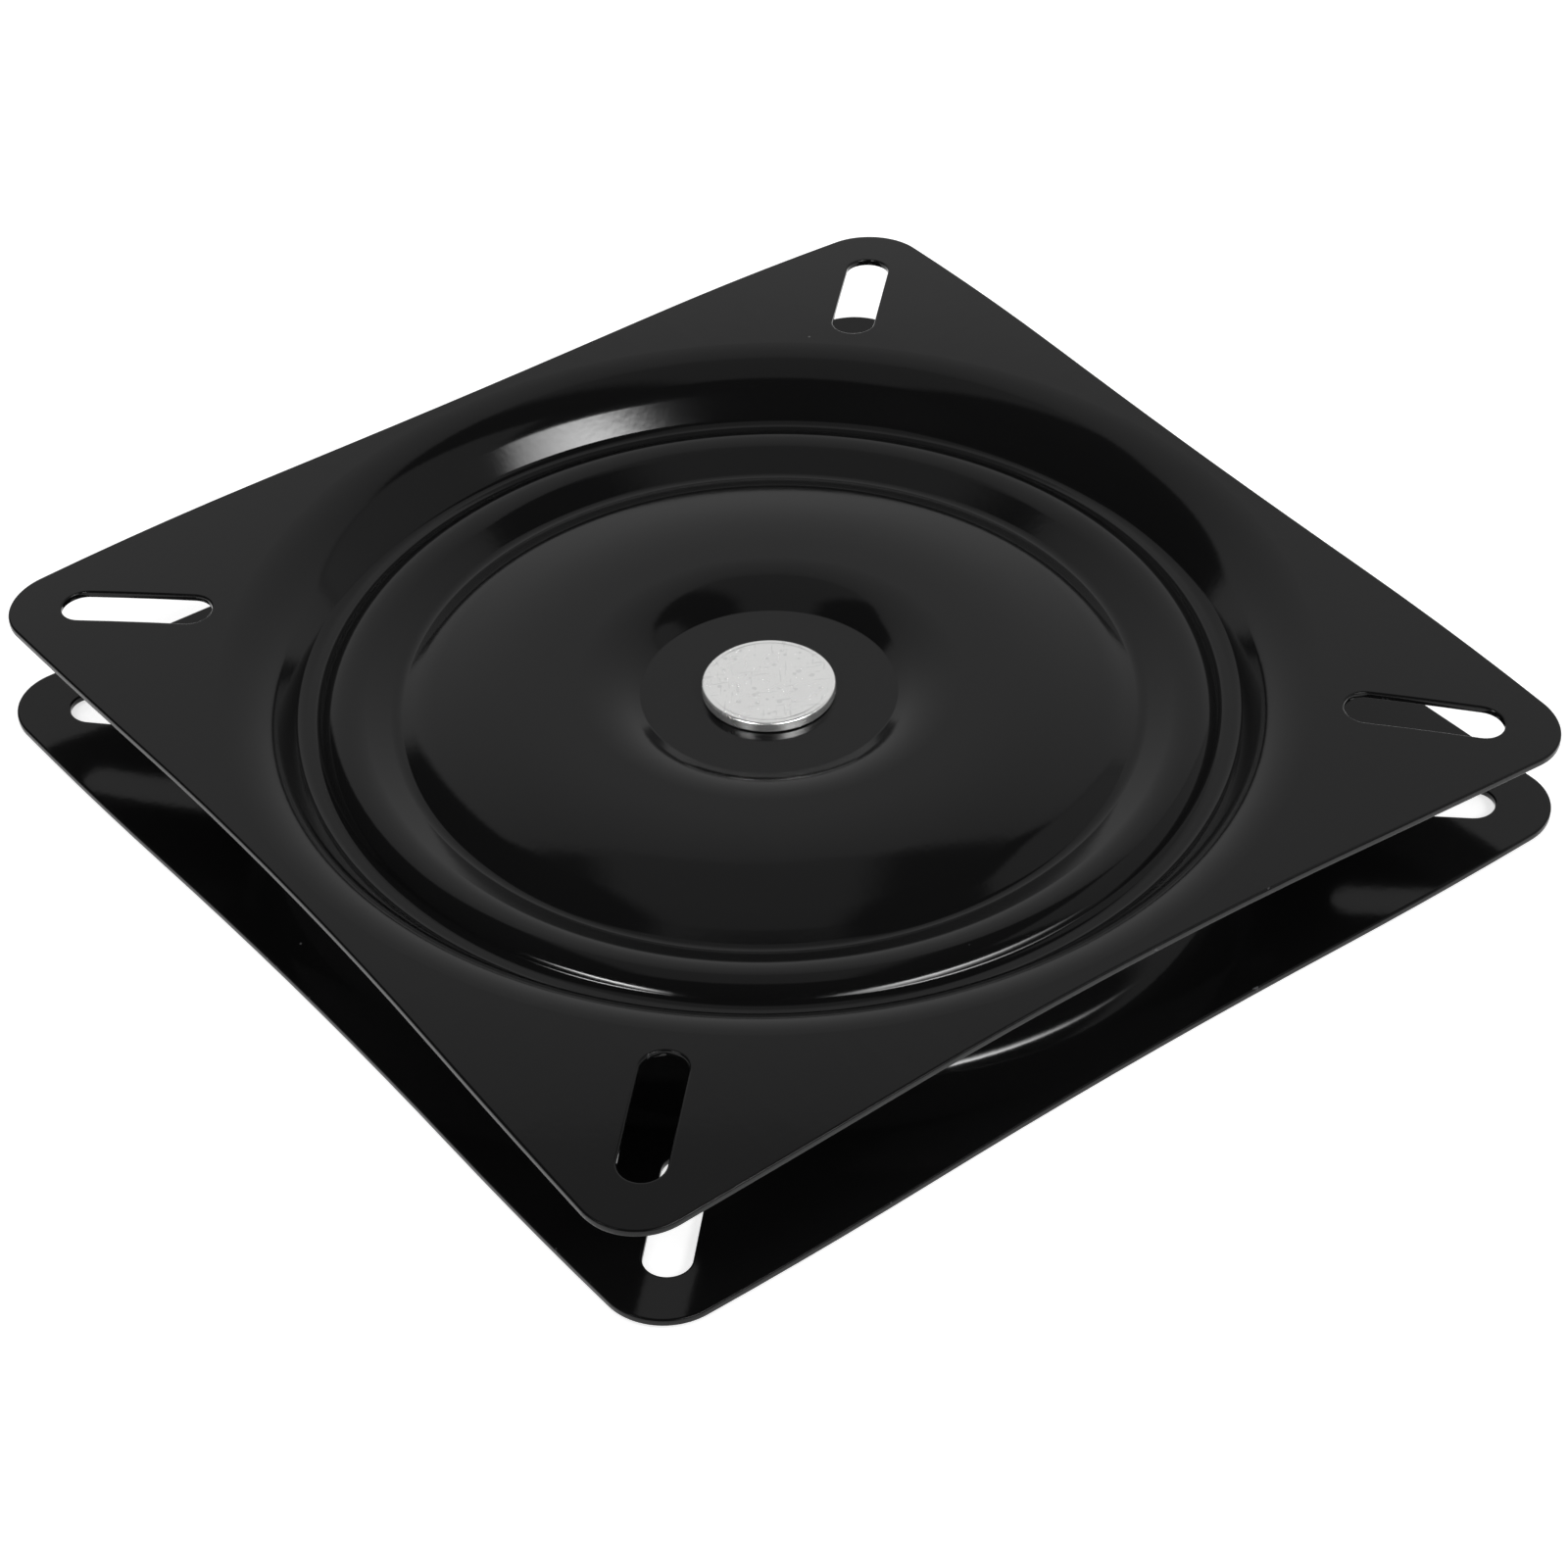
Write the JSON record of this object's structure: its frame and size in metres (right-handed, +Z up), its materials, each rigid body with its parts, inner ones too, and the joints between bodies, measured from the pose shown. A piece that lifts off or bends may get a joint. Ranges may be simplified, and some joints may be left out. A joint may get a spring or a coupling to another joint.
{
  "type": "seat swivel plate",
  "caption": "Square pressed-steel swivel plate for a seat: a dished top plate turns on a bottom plate over a ring of caged balls, held by a centre rivet.",
  "frame": {"origin": "centre of the bottom plate's mounting face, on the swivel axis", "axes": "+Z up along the rivet towards the seat, X and Y along the sides of the bottom plate"},
  "size_m": [0.2046, 0.2046, 0.024],
  "materials": {
    "black_paint": "gloss black stoved paint on pressed steel sheet",
    "zinc_rivet": "bright zinc plate, faintly scuffed",
    "nylon": "natural moulded nylon",
    "zinc_washer": "zinc-plated stamping",
    "cage_moulding": "dark moulded plastic",
    "ball_steel": "polished bearing steel"
  },
  "bodies": {
    "bottom": {"bottom_plate": "black_paint", "pivot_rivet": "zinc_rivet", "thrust_washer": "nylon", "tail_washer": "zinc_washer"},
    "top": {"top_plate": "black_paint"},
    "cage": {"ball_cage": "cage_moulding", "ball_01": "ball_steel", "ball_02": "ball_steel", "ball_03": "ball_steel", "ball_04": "ball_steel", "ball_05": "ball_steel", "ball_06": "ball_steel", "ball_07": "ball_steel", "ball_08": "ball_steel", "ball_09": "ball_steel", "ball_10": "ball_steel", "ball_11": "ball_steel", "ball_12": "ball_steel", "ball_13": "ball_steel", "ball_14": "ball_steel", "ball_15": "ball_steel", "ball_16": "ball_steel", "ball_17": "ball_steel", "ball_18": "ball_steel", "ball_19": "ball_steel", "ball_20": "ball_steel", "ball_21": "ball_steel", "ball_22": "ball_steel", "ball_23": "ball_steel", "ball_24": "ball_steel"}
  },
  "joints": [
    {"name": "swivel", "type": "hinge", "parent": "bottom", "child": "top", "pos_m": [0, 0, 0.024], "axis": [0, 0, 1], "continuous": true},
    {"name": "cage_roll", "type": "hinge", "parent": "bottom", "child": "cage", "pos_m": [0, 0, 0.012], "axis": [0, 0, 1], "continuous": true}
  ],
  "couplings": [
    {"joint": "cage_roll", "follows": "swivel", "ratio": 0.5}
  ]
}
